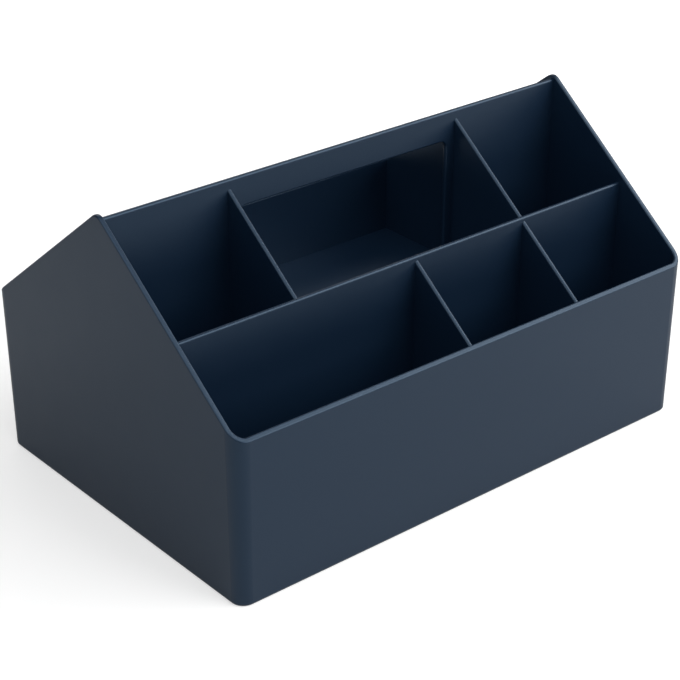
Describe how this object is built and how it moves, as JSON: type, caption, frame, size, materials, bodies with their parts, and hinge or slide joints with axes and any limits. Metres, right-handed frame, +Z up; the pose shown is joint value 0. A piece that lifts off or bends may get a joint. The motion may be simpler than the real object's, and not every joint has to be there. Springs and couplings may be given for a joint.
{
  "type": "storage caddy",
  "caption": "Open desk caddy shaped like a gabled house, with compartments either side of a ridge wall whose cut-out middle is the carrying handle.",
  "frame": {"origin": "middle of the underside, on the surface that the caddy stands on", "axes": "+X along the ridge and the handle, -Y towards the divided front row, +Z up"},
  "size_m": [0.3318, 0.225, 0.1834],
  "materials": {
    "body_plastic": "satin moulded, dark slate blue"
  },
  "bodies": {
    "root": {"outer_shell": "body_plastic", "ridge_handle_wall": "body_plastic", "front_mid_wall": "body_plastic", "rear_mid_wall": "body_plastic", "hand_bay_floor": "body_plastic", "left_bay_divider_front": "body_plastic", "left_bay_divider_rear": "body_plastic", "right_bay_divider_front": "body_plastic", "right_bay_divider_rear": "body_plastic", "front_row_centre_divider": "body_plastic", "front_row_right_divider": "body_plastic"}
  },
  "joints": []
}
